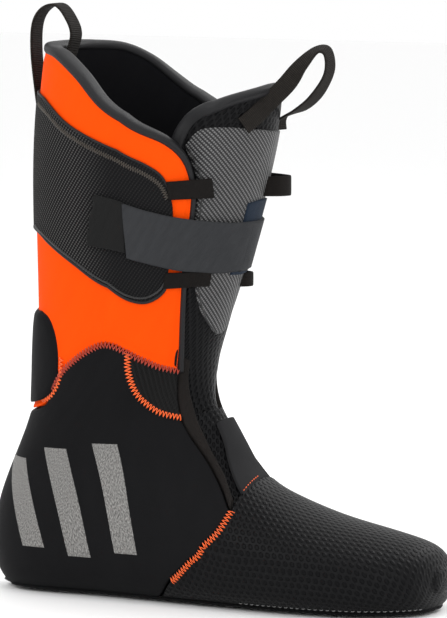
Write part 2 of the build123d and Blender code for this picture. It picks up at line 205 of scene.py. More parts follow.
def on_form(t, angle, depth=0.0):
    """The point at (t, angle), depth below the form; t from -1 to 0 is the rounded nose."""
    t = np.asarray(t, float)
    angle = np.radians(np.asarray(angle, float))
    nose = np.clip(-t, 0, 1)
    size = np.sqrt(1 - nose**2)
    parts = np.moveaxis(section(t), -1, 0)
    front_x, front_z, rear_x, rear_z, width, square, taper, middle = parts
    height = np.hypot(front_x - rear_x, front_z - rear_z)
    up_x, up_z = (front_x - rear_x) / height, (front_z - rear_z) / height
    power = np.where(np.cos(angle) >= 0, 1.0, 2 / square)
    along = np.sign(np.cos(angle)) * np.abs(np.cos(angle)) ** power
    reach = (height / 2 - depth) * along * size
    across = (width - depth) * np.sin(angle) * (1 - taper * along) * size
    x = (front_x + rear_x) / 2 + up_x * reach + NOSE_BULGE * nose
    z = (front_z + rear_z) / 2 + up_z * reach
    return np.stack([x, middle - across, z], -1)


SEARCH_GRID = (381, 361)
SEARCH_T, SEARCH_ANGLE = np.meshgrid(
    np.linspace(0, LAST, SEARCH_GRID[0]), np.linspace(0, 180, SEARCH_GRID[1]), indexing="ij"
)
SEARCH_POINT = on_form(SEARCH_T, SEARCH_ANGLE)
NEWTON_STEPS = 10
T_STEP, ANGLE_STEP = 0.01, 0.1  # for the slopes of the form
HALVINGS = 40


def side(x, z, where=LATERAL):
    """(t, angle) of the point seen at (x, z) from the side."""
    miss = (SEARCH_POINT[..., 0] - x) ** 2 + (SEARCH_POINT[..., 2] - z) ** 2
    i, j = np.unravel_index(np.argmin(miss), miss.shape)
    t, angle = SEARCH_T[i, j], SEARCH_ANGLE[i, j]
    for _ in range(NEWTON_STEPS):
        here = on_form(t, angle)[[0, 2]]
        by_t = (on_form(t + T_STEP, angle)[[0, 2]] - here) / T_STEP
        by_angle = (on_form(t, angle + ANGLE_STEP)[[0, 2]] - here) / ANGLE_STEP
        step = np.linalg.lstsq(np.stack([by_t, by_angle], 1), np.array([x, z]) - here, rcond=None)[0]
        t = float(np.clip(t + np.clip(step[0], -0.1, 0.1), 0, LAST))
        angle = float(np.clip(angle + np.clip(step[1], -1, 1), 0, 180))
    return (t, where * angle)


def sides(points, where=LATERAL):
    return [side(x, z, where) for x, z in points]


def level(angle, z, low=0.0):
    """(t, angle) of the point at that angle and height, looked for above section low."""
    high = float(LAST)
    for _ in range(HALVINGS):
        middle = (low + high) / 2
        if on_form(middle, angle)[2] < z:
            low = middle
        else:
            high = middle
    return ((low + high) / 2, angle)


def levels(points, low=6.0):
    return [level(angle, z, low) for angle, z in points]


def sole_angle(t, z=SOLE_EDGE_Z):
    """The angle where the section at t comes down to height z, 180 if it never does."""
    angles = np.linspace(95, 180, 340)
    heights = on_form(np.full_like(angles, t), angles)[:, 2]
    below = np.nonzero(heights < z)[0]
    return float(angles[below[0]]) if len(below) else 180.0


def sole_line(start, end, where=LATERAL, count=24, z=SOLE_EDGE_Z):
    """The line at height z from the section start to the section end."""
    return [(t, where * sole_angle(t, z)) for t in np.linspace(start, end, count)]


def girth_tables():
    """Lengths over the form, round it and along it, for surface coordinates in millimetres."""
    ts = np.linspace(-1, LAST, 401)
    angles = np.linspace(-180, 180, 181)
    points = on_form(*np.meshgrid(ts, angles, indexing="ij"))
    round_it = np.linalg.norm(np.diff(points, axis=1), axis=-1)
    girth = np.concatenate([np.zeros((len(ts), 1)), np.cumsum(round_it, 1)], 1)
    girth -= girth[:, [len(angles) // 2]]
    along_it = np.linalg.norm(np.diff(points, axis=0), axis=-1)
    rise = np.concatenate([np.zeros((1, len(angles))), np.cumsum(along_it, 0)], 0)
    return ts, angles, girth, rise


TABLE_T, TABLE_ANGLE, GIRTH, RISE = girth_tables()


def cloth_coordinates(t, angle):
    """(round the form, along the form) in millimetres."""
    i = (np.clip(t, -1, LAST) + 1) / (LAST + 1) * (len(TABLE_T) - 1)
    j = (np.clip(angle, -180, 180) + 180) / 360 * (len(TABLE_ANGLE) - 1)
    i0 = np.clip(np.floor(i).astype(int), 0, len(TABLE_T) - 2)
    j0 = np.clip(np.floor(j).astype(int), 0, len(TABLE_ANGLE) - 2)
    fi, fj = i - i0, j - j0
    found = []
    for table in (GIRTH, RISE):
        low = (1 - fj) * table[i0, j0] + fj * table[i0, j0 + 1]
        high = (1 - fj) * table[i0 + 1, j0] + fj * table[i0 + 1, j0 + 1]
        found.append((1 - fi) * low + fi * high)
    return np.stack(found, -1)


# ---------------------------------------------------------------- lines and patches
def smooth(points, per_span=16):
    """A Catmull-Rom curve through points of any dimension."""
    p = np.asarray(points, float)
    if len(p) < 3:
        return p[0] + np.linspace(0, 1, per_span * 2)[:, None] * (p[1] - p[0])
    ends = np.concatenate([[2 * p[0] - p[1]], p, [2 * p[-1] - p[-2]]])
    s = np.linspace(0, 1, per_span, endpoint=False)[:, None]
    spans = []
    for a, b, c, d in zip(ends, ends[1:], ends[2:], ends[3:]):
        squared = (2 * a - 5 * b + 4 * c - d) * s**2
        cubed = (3 * b - 3 * c + d - a) * s**3
        spans.append(0.5 * (2 * b + (c - a) * s + squared + cubed))
    return np.concatenate(spans + [p[-1:]])


def lengths(points):
    steps = np.linalg.norm(np.diff(points, axis=0), axis=1)
    return np.concatenate([[0], np.cumsum(steps)])


def spaced(line, shares, measure=None):
    """Points of line at the given shares of its length."""
    run = lengths(line if measure is None else measure)
    wanted = np.asarray(shares) * run[-1]
    return np.stack([np.interp(wanted, run, column) for column in line.T], 1)


def along(points, shares):
    """Points at shares of the length of a (t, angle) line, measured over the form."""
    line = smooth(points)
    return spaced(line, shares, on_form(line[:, 0], line[:, 1]))


def crowded_ends(count, share=0.6):
    """Numbers from 0 to 1, closer together at both ends."""
    s = np.linspace(0, 1, count)
    return share * (1 - np.cos(pi * s)) / 2 + (1 - share) * s


def patch(bottom, top, left, right, counts):
    """A grid of (t, angle) between four lines: bottom and top go from left to right, left and
    right from bottom to top."""
    u, v = crowded_ends(counts[0]), crowded_ends(counts[1])
    low, high = along(bottom, u), along(top, u)
    start, end = along(left, v), along(right, v)
    u, v = u[:, None, None], v[None, :, None]
    ruled = (1 - v) * low[:, None] + v * high[:, None] + (1 - u) * start[None] + u * end[None]
    corners = (1 - u) * ((1 - v) * low[0] + v * high[0]) + u * ((1 - v) * low[-1] + v * high[-1])
    return ruled - corners


def edge_distance(points, closed):
    """How far each point of a grid is from the nearest closed-off side, in millimetres."""
    far = np.full(points.shape[:2], 1e6)
    across = np.cumsum(np.linalg.norm(np.diff(points, axis=0), axis=-1), 0)
    across = np.concatenate([np.zeros((1, points.shape[1])), across])
    up = np.cumsum(np.linalg.norm(np.diff(points, axis=1), axis=-1), 1)
    up = np.concatenate([np.zeros((points.shape[0], 1)), up], 1)
    reach = {"left": across, "right": across[-1] - across, "bottom": up, "top": up[:, -1:] - up}
    for name in closed:
        far = np.minimum(far, reach[name])
    return far


ALL_SIDES = ("left", "right", "bottom", "top")
RIGHT_OPEN = ("left", "bottom", "top")  # the right side meets its twin in the middle


def rounded(distance, roll):
    """0 at an edge, 1 from roll inwards, along a quarter of a circle."""
    s = 1 - np.clip(distance / roll, 0, 1)
    return np.sqrt(1 - s**2)


# ---------------------------------------------------------------- meshes
def add_mesh(name, points, faces, material, uv=None):
    """A mesh piece; uv is one pair for each point, in millimetres of cloth."""
    mesh = bpy.data.meshes.new(name)
    mesh.from_pydata((np.asarray(points) * MM).tolist(), [], faces)
    mesh.materials.append(material)
    if uv is not None:
        layer = mesh.uv_layers.new(name="cloth")
        index = np.zeros(len(mesh.loops), int)
        mesh.loops.foreach_get("vertex_index", index)
        layer.data.foreach_set("uv", np.asarray(uv, np.float32)[index].ravel())
    mesh.polygons.foreach_set("use_smooth", [True] * len(mesh.polygons))
    mesh.update()
    piece = bpy.data.objects.new(name, mesh)
    bpy.context.scene.collection.objects.link(piece)
    return piece


def grid_faces(rows, columns, start=0, flip=False, wrap=False):
    """Quads of a grid of points laid out row by row."""
    faces = []
    for i in range(rows - 1):
        for j in range(columns if wrap else columns - 1):
            k = (j + 1) % columns
            a, b = start + i * columns + j, start + (i + 1) * columns + j
            c, d = start + (i + 1) * columns + k, start + i * columns + k
            faces.append((a, d, c, b) if flip else (a, b, c, d))
    return faces


def two_layers(name, grid, outer, inner, material):
    """A closed piece between two layers of points laid over a (t, angle) grid."""
    rows, columns = grid.shape[:2]
    half = rows * columns
    points = np.concatenate([outer.reshape(-1, 3), inner.reshape(-1, 3)])
    uv = np.tile(cloth_coordinates(grid[..., 0], grid[..., 1]).reshape(-1, 2), (2, 1))
    corner = outer[:-1, :-1]
    normal = np.cross(outer[1:, :-1] - corner, outer[:-1, 1:] - corner).sum((0, 1))
    flip = bool(np.dot(normal, (outer - inner).sum((0, 1))) < 0)
    faces = grid_faces(rows, columns, 0, flip) + grid_faces(rows, columns, half, not flip)
    border = [i * columns for i in range(rows)]
    border += [(rows - 1) * columns + j for j in range(1, columns)]
    border += [i * columns + columns - 1 for i in range(rows - 2, -1, -1)]
    border += list(range(columns - 2, 0, -1))
    for a, b in zip(border, border[1:] + border[:1]):
        faces.append((a, b, b + half, a + half) if flip else (b, a, a + half, b + half))
    return add_mesh(name, points, faces, material, uv)


def slab(name, grid, depth, material, roll=1.5, closed=ALL_SIDES, puff=0.0, wave=None):
    """A closed slab over a (t, angle) grid, from depth[0] to depth[1], with rolled edges.
    puff raises the middle further, and wave(distance from the edge) adds its own relief."""
    t, angle = grid[..., 0], grid[..., 1]
    edge = edge_distance(on_form(t, angle), closed)
    outer_depth = depth[1] - (depth[1] - depth[0]) * rounded(edge, roll)
    if puff:
        outer_depth = outer_depth - puff * (1 - np.exp(-edge / (roll * 2)))
    if wave is not None:
        outer_depth = outer_depth + wave(edge)
    outer, inner = on_form(t, angle, outer_depth), on_form(t, angle, depth[1])
    for layer in (outer, inner):
        layer[..., 2] = np.maximum(layer[..., 2], FLOOR_GAP)
    return two_layers(name, grid, outer, inner, material)


def frames_along(line, across_hint):
    """Unit tangent, side and up vectors along a line, the side as close to the hint as can be."""
    tangent = np.gradient(line, axis=0)
    tangent /= np.linalg.norm(tangent, axis=1)[:, None]
    hint = np.broadcast_to(np.asarray(across_hint, float), line.shape)
    across = hint - (hint * tangent).sum(1)[:, None] * tangent
    across /= np.linalg.norm(across, axis=1)[:, None]
    return tangent, across, np.cross(tangent, across)


def swept(line, across, up, profile):
    """Points and faces of a closed profile (a, b) carried along a line, with end caps."""
    profile = np.asarray(profile, float)
    rings = line[:, None] + profile[None, :, :1] * across[:, None] + profile[None, :, 1:] * up[:, None]
    count = profile.shape[0]
    faces = grid_faces(len(line), count, 0, False, wrap=True)
    faces.append(tuple(range(count)))
    last = (len(line) - 1) * count
    faces.append(tuple(last + i for i in reversed(range(count))))
    return rings.reshape(-1, 3), faces


def superellipse(half_width, half_height, power=2.0, count=16):
    """Points round a rounded profile, squarer as the power grows."""
    angles = 2 * pi * (np.arange(count) + 0.5) / count
    c, s = np.cos(angles), np.sin(angles)
    a = half_width * np.sign(c) * np.abs(c) ** (2 / power)
    b = half_height * np.sign(s) * np.abs(s) ** (2 / power)
    return np.stack([a, b], 1)


def tube(name, line, hint, profile, material, around, along_first=False, scale=1.0):
    """A profile carried along a line; around holds its cloth coordinate at each point."""
    _, across, up = frames_along(line, hint)
    points, faces = swept(line, across, up * scale, profile)
    run = np.repeat(lengths(line), len(profile))
    around = np.tile(around, len(line))
    uv = (run, around) if along_first else (around, run)
    return add_mesh(name, points, faces, material, np.stack(uv, 1))


def strand(name, line, radius, material, count):
    """A thin round cord along a line, with count sides."""
    profile = superellipse(radius, radius, 2.0, count)
    return tube(name, line, (0.3, 0.2, 1), profile, material, np.arange(count), along_first=True)


def band(name, line, across, width, thickness, material):
    """Flat webbing along a line, its width along across."""
    profile = superellipse(width / 2, thickness / 2, 6.0, 20)
    return tube(name, line, across, profile, material, profile[:, 0])


def zigzag(name, seam, size, material, lift=0.35, radius=0.32):
    """Zigzag sewing thread along a (t, angle) line; size is its width and pitch."""
    width, pitch = size
    line = smooth(seam)
    run = lengths(on_form(line[:, 0], line[:, 1]))[-1]
    count = int(run / pitch) * 2 + 1
    middle = along(seam, np.linspace(0, 1, count))
    base = on_form(middle[:, 0], middle[:, 1])
    tangent = np.gradient(base, axis=0)
    tangent /= np.linalg.norm(tangent, axis=1)[:, None]
    outward = base - on_form(middle[:, 0], middle[:, 1], 1.0)
    outward /= np.linalg.norm(outward, axis=1)[:, None]
    swing = np.where(np.arange(count) % 2, 1, -1)[:, None] * width / 2
    corners = base + np.cross(tangent, outward) * swing + outward * lift
    steps = np.linspace(0, 1, STEPS_PER_STITCH + 1)[:, None]
    arch = 4 * steps * (1 - steps)
    threads = []
    for a, b, out in zip(corners, corners[1:], outward):
        threads.append(a + (b - a) * steps + out * (BOW * arch - DIP * (1 - arch)))
    line = np.concatenate([thread[:-1] for thread in threads] + [threads[-1][-1:]])
    hint = np.repeat(outward[:-1], STEPS_PER_STITCH, axis=0)
    hint = np.concatenate([hint, hint[-1:]])
    profile = superellipse(radius, radius, 2.0, STITCH_SIDES)
    return tube(name, line, hint, profile, material, np.zeros(STITCH_SIDES), along_first=True)


def running_stitch(name, seam, size, depth, material):
    """Separate straight stitches along a (t, angle) line; size is their length and gap."""
    length, gap = size
    line = smooth(seam)
    total = lengths(on_form(line[:, 0], line[:, 1]))[-1]
    points, faces = [], []
    at = gap
    while at + length < total:
        stretch = along(seam, np.linspace(at, at + length, 5) / total)
        thread = on_form(stretch[:, 0], stretch[:, 1], depth + STITCH_DIP)
        _, side_way, up = frames_along(thread, (0.3, 0.2, 1))
        some, more = swept(thread, side_way, up, superellipse(0.28, 0.28, 2.0, STITCH_SIDES))
        start = sum(len(p) for p in points)
        points.append(some)
        faces += [tuple(start + k for k in face) for face in more]
        at += length + gap
    points = np.concatenate(points)
    return add_mesh(name, points, faces, material, np.zeros((len(points), 2)))


# ---------------------------------------------------------------- materials
class Cloth:
    """A procedural fabric: patterns in cloth millimetres, mixed into colour and relief."""

    def __init__(self, name, roughness=0.8, sheen=0.0, specular=0.3):
        self.material = bpy.data.materials.new(name)
        self.material.use_nodes = True
        self.tree = self.material.node_tree
        self.shader = self.tree.nodes["Principled BSDF"]
        self.shader.inputs["Roughness"].default_value = roughness
        self.shader.inputs["Sheen Weight"].default_value = sheen
        self.shader.inputs["Sheen Roughness"].default_value = 0.5
        self.shader.inputs["Specular IOR Level"].default_value = specular
        self.uv = self.node("ShaderNodeUVMap", uv_map="cloth").outputs["UV"]
        self.place = self.node("ShaderNodeTexCoord").outputs["Object"]
        self.leg_place = None

    def node(self, kind, **settings):
        made = self.tree.nodes.new(kind)
        for key, value in settings.items():
            setattr(made, key, value)
        return made

    def link(self, socket, other):
        self.tree.links.new(socket, other)

    def math(self, operation, a, b):
        made = self.node("ShaderNodeMath", operation=operation)
        for i, value in enumerate((a, b)):
            if isinstance(value, (int, float)):
                made.inputs[i].default_value = value
            else:
                self.link(value, made.inputs[i])
        return made.outputs[0]

    def turned(self, angle, stretch=(1, 1, 1), source=None):
        made = self.node("ShaderNodeMapping", vector_type="POINT")
        made.inputs["Rotation"].default_value = (0, 0, radians(angle))
        made.inputs["Scale"].default_value = stretch
        self.link(source or self.uv, made.inputs["Vector"])
        return made.outputs[0]

    def wrapped(self):
        """(round the form, height) in millimetres, for a pattern that runs straight round the leg."""
        if self.leg_place is None:
            parts = self.node("ShaderNodeSeparateXYZ")
            self.link(self.place, parts.inputs[0])
            made = self.node("ShaderNodeCombineXYZ")
            girth = self.node("ShaderNodeSeparateXYZ")
            self.link(self.uv, girth.inputs[0])
            self.link(girth.outputs["X"], made.inputs["X"])
            self.link(self.math("MULTIPLY", parts.outputs["Z"], 1 / MM), made.inputs["Y"])
            self.leg_place = made.outputs[0]
        return self.leg_place

    def ribs(self, pitch, angle=0.0, distortion=0.0, source=None):
        """Parallel ribs, 0 to 1, across the turned first direction."""
        made = self.node("ShaderNodeTexWave", wave_type="BANDS", bands_direction="X")
        made.inputs["Scale"].default_value = pi / (10 * pitch)
        made.inputs["Distortion"].default_value = distortion
        made.inputs["Detail Scale"].default_value = 1.0
        self.link(self.turned(angle, source=source), made.inputs["Vector"])
        return made.outputs["Fac"]

    def dots(self, pitch, angle=0.0, source=None):
        """Rounded bumps in a net of equal triangles, 0 to 1."""
        total = None
        for turn in (0, 60, 120):
            ribs = self.ribs(pitch, angle + turn, source=source)
            total = ribs if total is None else self.math("ADD", total, ribs)
        return self.math("MULTIPLY", total, 1 / 3)

    def noise(self, size, detail=3.0, stretch=(1, 1, 1), source=None):
        made = self.node("ShaderNodeTexNoise")
        made.inputs["Scale"].default_value = 1 / size
        made.inputs["Detail"].default_value = detail
        self.link(self.turned(0, stretch, source), made.inputs["Vector"])
        return made.outputs["Fac"]

    def ramp(self, value, low, high):
        made = self.node("ShaderNodeMapRange", interpolation_type="SMOOTHSTEP")
        made.inputs["From Min"].default_value = low
        made.inputs["From Max"].default_value = high
        self.link(value, made.inputs["Value"])
        return made.outputs["Result"]

    def mix(self, share, dark, light):
        made = self.node("ShaderNodeMix", data_type="RGBA")
        self.link(share, made.inputs["Factor"])
        for name, value in (("A", dark), ("B", light)):
            socket = next(s for s in made.inputs if s.name == name and s.type == "RGBA")
            if isinstance(value, tuple):
                socket.default_value = (*value, 1)
            else:
                self.link(value, socket)
        return next(s for s in made.outputs if s.type == "RGBA")

    def colour(self, share, dark, light):
        self.link(self.mix(share, dark, light), self.shader.inputs["Base Color"])
        return self

    def relief(self, height, distance, fine=None, fine_distance=0.00005):
        """Bump from height, distance in metres, and a finer one on top."""
        normal = None
        for value, reach in ((height, distance), (fine, fine_distance)):
            if value is None:
                continue
            bump = self.node("ShaderNodeBump")
            bump.inputs["Distance"].default_value = reach
            bump.inputs["Strength"].default_value = 1.0
            self.link(value, bump.inputs["Height"])
            if normal is not None:
                self.link(normal, bump.inputs["Normal"])
            normal = bump.outputs["Normal"]
        self.link(normal, self.shader.inputs["Normal"])
        return self


def neoprene(name, dark, light, roughness=0.75, sheen=0.0, specular=0.05):
    """Smooth stretch knit laminated over foam."""
    cloth = Cloth(name, roughness, sheen, specular)
    fine = cloth.math("MULTIPLY", cloth.ribs(0.55, 45), cloth.ribs(0.55, -45))
    cloth.colour(cloth.noise(18, 4), dark, light)
    return cloth.relief(cloth.noise(9, 3), 0.0002, fine, 0.00005).material


def satin(name, dark, light):
    """Glossier edge cloth, rolled over the rim."""
    cloth = Cloth(name, 0.5, 0.0, 0.25)
    fine = cloth.ribs(0.5, 30)
    cloth.colour(cloth.noise(10, 4, (1, 0.25, 1)), dark, light)
    return cloth.relief(cloth.noise(7, 3, (1, 0.3, 1)), 0.0004, fine, 0.00004).material


def embossed(name, dark, light, size, depth=0.0006):
    """Fabric pressed into a net of rounded scales."""
    cloth = Cloth(name, 0.42, 0.0, 0.07)
    scales = cloth.ramp(cloth.dots(size, 12), 0.22, 0.62)
    fine = cloth.noise(0.8, 2)
    speck = cloth.math("MULTIPLY", scales, cloth.noise(1.6, 3))
    cloth.colour(speck, dark, light)
    return cloth.relief(scales, depth, fine, 0.00012).material


def ribbed_mesh():
    """Spacer mesh with fine slanted ribs, its light threads painted brighter towards the rear of the boot
    as painted light, fading into painted shade towards the front.
    """
    cloth = Cloth("spacer_mesh", 0.85, 0.0, 0.06)
    ribs = cloth.ribs(2.1, -27, 0.2, cloth.wrapped())
    knots = cloth.ribs(1.4, 63, 0.0, cloth.wrapped())
    threads = cloth.math("MULTIPLY", ribs, cloth.math("ADD", cloth.math("MULTIPLY", knots, 0.6), 0.4))
    far_back = cloth.node("ShaderNodeSeparateXYZ")
    cloth.link(cloth.place, far_back.inputs[0])
    # Painted light: the light threads show fully towards the rear, where more light falls, and fade to
    # 15% towards the front as painted shade.
    painted_rear_light = cloth.ramp(far_back.outputs["X"], -0.045, -0.075)
    painted_rear_light = cloth.math("ADD", cloth.math("MULTIPLY", painted_rear_light, 0.85), 0.15)
    share = cloth.math("MULTIPLY", cloth.ramp(threads, 0.25, 0.8), painted_rear_light)
    cloth.colour(share, (0.0065, 0.0065, 0.007), (0.07, 0.068, 0.066))
    return cloth.relief(threads, 0.0004).material


def shield_mesh():
    """Two-tone diagonal mesh: light threads over a dark ground."""
    cloth = Cloth("shield_mesh", 0.55, 0.05, 0.30)
    diagonal = cloth.ribs(1.95, 46, 0.0, cloth.wrapped())
    beads = cloth.ribs(1.5, -44, 0.0, cloth.wrapped())
    light = cloth.ramp(diagonal, 0.3, 0.75)
    light = cloth.math("MULTIPLY", light, cloth.ramp(beads, 0.0, 0.35))
    cloth.colour(light, (0.009, 0.009, 0.010), (0.155, 0.155, 0.155))
    return cloth.relief(cloth.math("MULTIPLY", diagonal, beads), 0.0005).material


def webbing_cloth(name, dark, light, pitch=1.1):
    """Narrow woven tape with ribs across it."""
    cloth = Cloth(name, 0.8, 0.0, 0.15)
    ribs = cloth.ribs(pitch, 90)
    lines = cloth.ribs(1.9, 0)
    woven = cloth.math("MULTIPLY", ribs, cloth.math("ADD", cloth.math("MULTIPLY", lines, 0.4), 0.6))
    cloth.colour(cloth.math("MULTIPLY", woven, cloth.noise(3, 3)), dark, light)
    return cloth.relief(woven, 0.0004, cloth.noise(0.5, 2), 0.0001).material


def brushed(name, dark, light, nap=0.0002):
    """Brushed loop cloth, the face of the strap and its patches."""
    cloth = Cloth(name, 0.9, 0.03, 0.12)
    hairs = cloth.noise(0.7, 4, (0.35, 1, 1))
    clouds = cloth.noise(7, 4)
    share = cloth.math("ADD", cloth.math("MULTIPLY", hairs, 0.6), cloth.math("MULTIPLY", clouds, 0.5))
    cloth.colour(share, dark, light)
    return cloth.relief(clouds, 0.0003, hairs, nap).material


def thread(name, dark, light):
    cloth = Cloth(name, 0.55, 0.2, 0.4)
    cloth.colour(cloth.noise(5, 2), dark, light)
    return cloth.relief(cloth.ribs(0.5, 35), 0.00008).material


def speckled(name):
    """Glass-bead print: grey with bright and dark specks."""
    cloth = Cloth(name, 0.7, 0.0, 0.3)
    specks = cloth.ramp(cloth.noise(0.9, 3), 0.3, 0.72)
    cloth.colour(specks, (0.07, 0.068, 0.065), (0.27, 0.265, 0.255))
    return cloth.relief(specks, 0.00012).material


def placed(name, dark, light, size, roughness, bump=0.0003):
    """For carried-over CAD nodes, which have no cloth coordinates: patterns in space."""
    cloth = Cloth(name, roughness, 0.1, 0.35)
    grain = cloth.noise(size * MM, 4, source=cloth.place)
    fine = cloth.noise(size * MM / 6, 3, source=cloth.place)
    cloth.colour(grain, dark, light)
    return cloth.relief(grain, bump, fine, bump / 4).material


ORANGE = neoprene("orange_neoprene", (0.80, 0.060, 0.0008), (0.87, 0.072, 0.0012), 0.75)
BLACK_SHELL = neoprene(
    "black_shell_cloth", (0.0040, 0.0040, 0.0045), (0.0065, 0.0065, 0.0072), 0.62, 0.0, 0.06
)
BLACK_LINING = neoprene("lining_cloth", (0.004, 0.004, 0.005), (0.007, 0.007, 0.008), 0.65, 0.0)
SATIN = satin("collar_satin", (0.004, 0.004, 0.005), (0.009, 0.009, 0.010))
VAMP_CLOTH = embossed("vamp_emboss", (0.003, 0.003, 0.0035), (0.0085, 0.0085, 0.009), 3.9, 0.0009)
TONGUE_CLOTH = embossed("tongue_emboss", (0.003, 0.003, 0.0035), (0.0095, 0.0095, 0.010), 3.5, 0.0009)
ANKLE_CLOTH = embossed("ankle_emboss", (0.005, 0.005, 0.005), (0.011, 0.011, 0.011), 2.2, 0.0003)
SPACER = ribbed_mesh()
SHIELD = shield_mesh()
TRIM = webbing_cloth("folded_trim", (0.008, 0.0065, 0.006), (0.028, 0.023, 0.020), 0.8)
WEBBING = webbing_cloth("pull_webbing", (0.006, 0.005, 0.0045), (0.040, 0.034, 0.028))
KEEPER_TAPE = webbing_cloth("keeper_tape", (0.006, 0.005, 0.0045), (0.016, 0.012, 0.010), 0.7)
STRAP_CLOTH = brushed("strap_loop_cloth", (0.0137, 0.0144, 0.0160), (0.0395, 0.0410, 0.0441))
HOOK_CLOTH = brushed("hook_tab_cloth", (0.005, 0.005, 0.005), (0.012, 0.012, 0.012), 0.0005)
PATCH_CLOTH = brushed("patch_hook_cloth", (0.006, 0.010, 0.018), (0.018, 0.028, 0.045), 0.0004)
INSTEP_CLOTH = neoprene("instep_cloth", (0.014, 0.014, 0.015), (0.022, 0.022, 0.023), 0.7)
ORANGE_THREAD = thread("orange_thread", (0.75, 0.07, 0.004), (1.0, 0.16, 0.01))
RED_THREAD = thread("dark_red_thread", (0.25, 0.015, 0.004), (0.55, 0.045, 0.008))
BROWN_THREAD = thread("brown_thread", (0.022, 0.016, 0.010), (0.055, 0.042, 0.030))
PALE_THREAD = thread("pale_thread", (0.10, 0.10, 0.10), (0.22, 0.22, 0.22))
BLACK_THREAD = thread("black_thread", (0.004, 0.004, 0.004), (0.010, 0.010, 0.010))
BARS = speckled("bead_print")


def over_ankle(piece, *nodes, slot=None):
    """A piece over the ankle, between the foot and the cuff, baked into world space and attached to no
    body.
    """
    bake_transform(piece)
    return standing_for(piece, nodes)


def riding(piece, body, *nodes, slot=None):
    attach(piece, body)
    return standing_for(piece, nodes)


def standing_for(piece, nodes):
    if nodes:
        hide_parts(*nodes)
    return piece


def mirrored(points):
    return [(t, -angle) for t, angle in points]


# ---------------------------------------------------------------- the foot
def make_foot():
    vamp_end = side(*VAMP_SEAM[-1])[0] + SEAM_TO_SOLE_T
    for name, where in SIDES.items():
        seam = sides(VAMP_SEAM, where) + [(vamp_end, where * sole_angle(vamp_end))]
        heel = sole_line(vamp_end, HEEL_SOLE_T, where) + [(t, where * 180) for t in HEEL_BACK_T]
        heel.append(level(where * 180, CUFF_SEAM_REAR_Z, 11))
        cuff_seam = sides(REAR_CUFF_SEAM, where) + [heel[-1]]
        front = sides(THROAT_OUTER + ANKLE_SEAM[1:], where)
        grid = patch(seam, cuff_seam, front, heel, (90, 90))
        quarter = slab(f"{name}_quarter_cover", grid, QUARTER_DEPTH, BLACK_SHELL, 1.6, RIGHT_OPEN)
        over_ankle(quarter, f"{name}_quarter", slot="smooth_knit")

        ankle = sides(ANKLE_SEAM, where)
        throat = sides(ANKLE_FRONT, where)
        grid = patch([ankle[0], throat[0]], sides(FRONT_CUFF_SEAM, where), ankle, throat, (24, 30))
        panel = slab(f"{name}_ankle_cover", grid, ANKLE_DEPTH, ANKLE_CLOTH, 1.4)
        over_ankle(panel, f"{name}_ankle_panel", slot="embossed_fabric")

        outer = sides(THROAT_OUTER + THROAT_TOP, where)
        inner = sides(THROAT_INNER, where)
        grid = patch([outer[0], inner[0]], [outer[-1], inner[-1]], outer, inner, (14, 70))
        trim = slab(f"{name}_throat_binding", grid, TRIM_DEPTH, TRIM, 2.4)
        over_ankle(trim, f"{name}_throat_trim", slot="binding")

    seam = sides(VAMP_SEAM, LATERAL) + [(vamp_end, sole_angle(vamp_end))]
    top = list(reversed(seam)) + levels(VAMP_TOP, 6.3) + mirrored(seam)
    left = [(TOE_TIP_T, 180.0)] + sole_line(0, vamp_end)
    toe = [(TOE_TIP_T, angle) for angle in np.linspace(180, -180, 25)]
    grid = patch(toe, top, left, mirrored(left), (120, 110))
    vamp = slab("vamp_cover", grid, VAMP_DEPTH, VAMP_CLOTH, 1.2, ("top",))
    riding(vamp, "foot", "vamp", slot="embossed_fabric")


def make_instep():
    low = levels(GUSSET_LOW, 6.0)
    high = levels(GUSSET_HIGH, 8.0)
    left = [low[0]] + levels(GUSSET_SIDE, 6.5) + [high[0]]
    grid = patch(low, high, left, mirrored(left), (50, 40))
    base = slab("instep_stretch_panel", grid, GUSSET_DEPTH, TONGUE_CLOTH, 1.0)
    riding(base, "foot", "instep_gusset", slot="embossed_fabric")

    low = levels(FLAP_LOW, 6.3)
    high = levels(FLAP_HIGH, 8.0)
    left = [low[0]] + levels(FLAP_LEFT, 7) + [high[0]]
    right = [low[-1]] + levels(FLAP_RIGHT, 7) + [high[-1]]
    grid = patch(low, high, left, right, (30, 36))
    flap = slab("instep_flap", grid, INSTEP_FLAP_DEPTH, INSTEP_CLOTH, 1.1)
    riding(flap, "foot", slot="stretch_fabric")
    line = levels(FLAP_SEWING, 6.3)
    dots = running_stitch("instep_flap_stitches", line, FLAP_STITCH, -1.2, ORANGE_THREAD)
    riding(dots, "foot")


def make_seams():
    for name, where in SIDES.items():
        seam = sides([(x + 1.2, z - 0.6) for x, z in VAMP_SEAM[:-1]], where)
        riding(zigzag(f"{name}_vamp_seam", seam, SEAM_ZIGZAG, ORANGE_THREAD, 0.7, 0.27), "foot")
        for part, line, size, thread in (
            ("ankle", ANKLE_SEAM, SEAM_ZIGZAG, ORANGE_THREAD),
            ("front_cuff", FRONT_CUFF_SEAM, SEAM_ZIGZAG, RED_THREAD),
            ("rear_cuff", REAR_CUFF_SEAM[:-1], REAR_CUFF_ZIGZAG, RED_THREAD),
        ):
            over_ankle(zigzag(f"{name}_{part}_seam", sides(line, where), size, thread, 0.6))
        edge = sole_line(1.4, 6.4, where, 20, TOE_SEWING_Z)
        riding(running_stitch(f"{name}_toe_stitches", edge, TOE_STITCH, -0.6, PALE_THREAD), "foot")
        ridge = np.array(sole_line(1.2, 10, where, 90, SOLE_RIDGE_Z))
        line = on_form(ridge[:, 0], ridge[:, 1], -0.7)
        riding(strand(f"{name}_sole_seam", line, 0.9, BLACK_SHELL, 10), "foot", slot="smooth_knit")


# ---------------------------------------------------------------- the cuff
def rim_line(where):
    """The cuff's rim on one side, from the front of the flap to the middle of the rear."""
    points = RIM if where == LATERAL else MEDIAL_RIM
    rear = [level(where * angle, RIM_REAR_Z, 15) for angle in (180, 162)]
    return list(reversed(rear + sides(points, where)))


